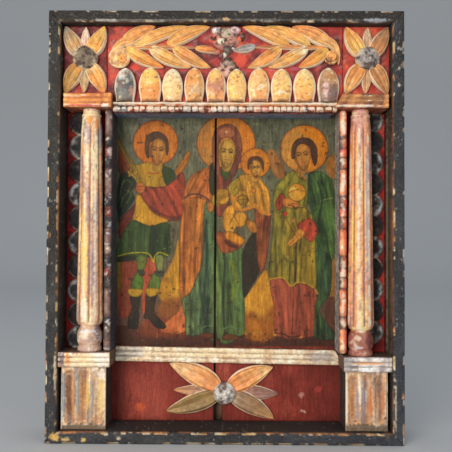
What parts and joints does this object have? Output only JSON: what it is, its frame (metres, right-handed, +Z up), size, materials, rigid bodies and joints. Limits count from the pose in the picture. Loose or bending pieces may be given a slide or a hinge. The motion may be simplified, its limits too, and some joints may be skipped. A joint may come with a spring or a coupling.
{
  "type": "religious icon",
  "caption": "Icon painted on boards, set deep in a black wooden case behind a gilded carved surround of fluted pedestals, columns, corner flowers and a leafy frieze.",
  "frame": {"origin": "middle of the underside of the case", "axes": "+Z up, the painted front faces -Y, +X to the right of someone looking at the front"},
  "size_m": [0.4, 0.068, 0.485],
  "materials": {
    "case_paint": "worn black paint over wood, chipped along the edges",
    "painted_board": "tempera under old darkened varnish",
    "gilding": "worn leaf and bronze paint over gesso",
    "silvering": "tarnished silver leaf over gesso",
    "red_ground": "matt red paint with silver and black scales"
  },
  "bodies": {
    "root": {"rail_top": "case_paint", "rail_bottom": "case_paint", "rail_left": "case_paint", "rail_right": "case_paint", "board_left": "painted_board", "board_right": "painted_board", "pedestal_left": "gilding", "pedestal_right": "gilding", "pedestal_cap_left": "gilding", "pedestal_cap_right": "gilding", "column_left": "gilding", "column_right": "gilding", "impost_left": "gilding", "impost_right": "gilding", "corner_block_left": "gilding", "corner_block_right": "gilding", "frieze": "gilding", "bead_strip_left": "silvering", "bead_strip_right": "gilding", "scale_strip_left": "red_ground", "scale_strip_right": "red_ground", "sill": "silvering", "predella_flower": "gilding"}
  },
  "joints": []
}
